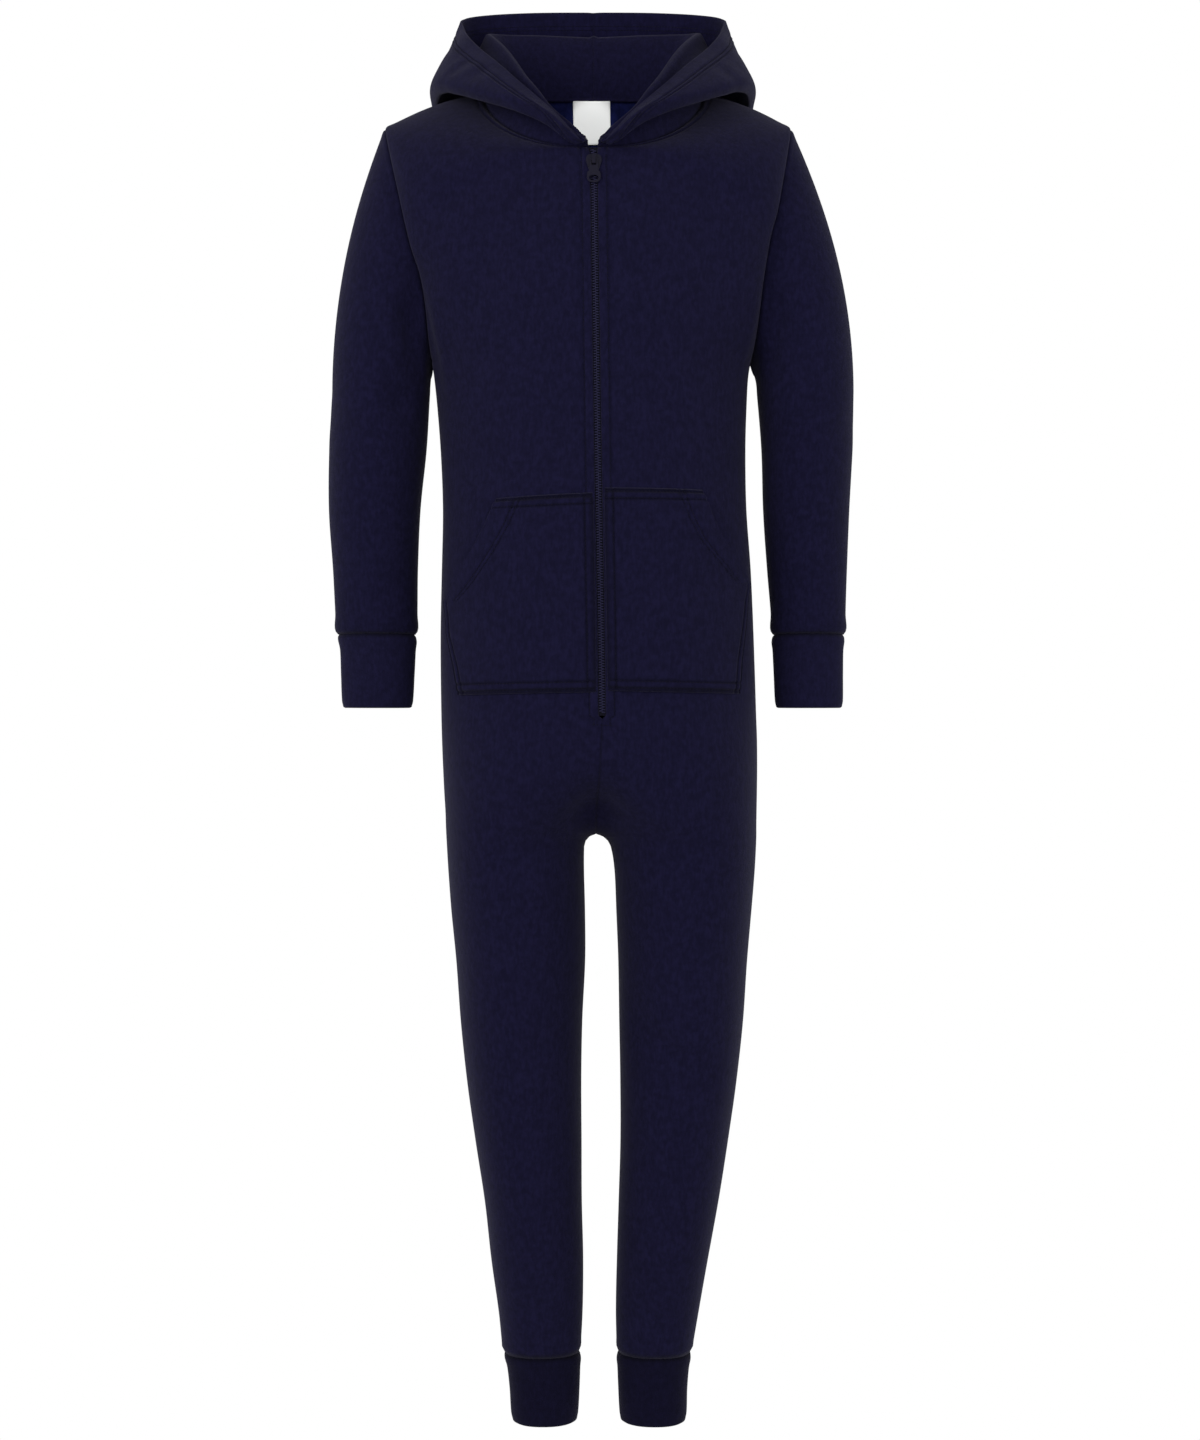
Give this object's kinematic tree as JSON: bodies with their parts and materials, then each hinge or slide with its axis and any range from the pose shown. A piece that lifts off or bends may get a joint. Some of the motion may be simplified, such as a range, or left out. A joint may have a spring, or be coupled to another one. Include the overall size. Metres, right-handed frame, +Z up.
{
  "type": "onesie pajama",
  "caption": "Child's hooded one-piece pajama with a front zip, split kangaroo pocket, cuffed sleeves and cuffed legs, filled out and hollow.",
  "frame": {"origin": "middle of the neck opening, level with the high shoulder points", "axes": "+Z up the body, the front faces -Y, +X to the right as seen from the front"},
  "size_m": [0.4448, 0.223, 1.2245],
  "materials": {
    "fleece": "matt brushed sweatshirt fleece, dark navy",
    "zip_tape": "woven polyester tape, dark navy",
    "zip_teeth": "nylon coil, dark navy",
    "zip_metal": "satin enamel, dark navy",
    "label": "plain white satin, bare"
  },
  "bodies": {
    "garment": {"front_left": "fleece", "front_right": "fleece", "back_left": "fleece", "back_right": "fleece", "sleeve_left": "fleece", "sleeve_right": "fleece", "wrist_cuff_left": "fleece", "wrist_cuff_right": "fleece", "ankle_cuff_left": "fleece", "ankle_cuff_right": "fleece", "hood_left": "fleece", "hood_right": "fleece", "pocket_left": "fleece", "pocket_right": "fleece", "zip_tape_left": "zip_tape", "zip_tape_right": "zip_tape", "zip_chain": "zip_teeth", "zip_slider": "zip_metal", "neck_label": "label"},
    "pull": {"zip_pull": "zip_metal"}
  },
  "joints": [
    {"name": "pull_swing", "type": "hinge", "parent": "garment", "child": "pull", "pos_m": [-0.00336, -0.08453, -0.06056], "axis": [-1, 0, 0], "range_deg": [0, 150]}
  ]
}
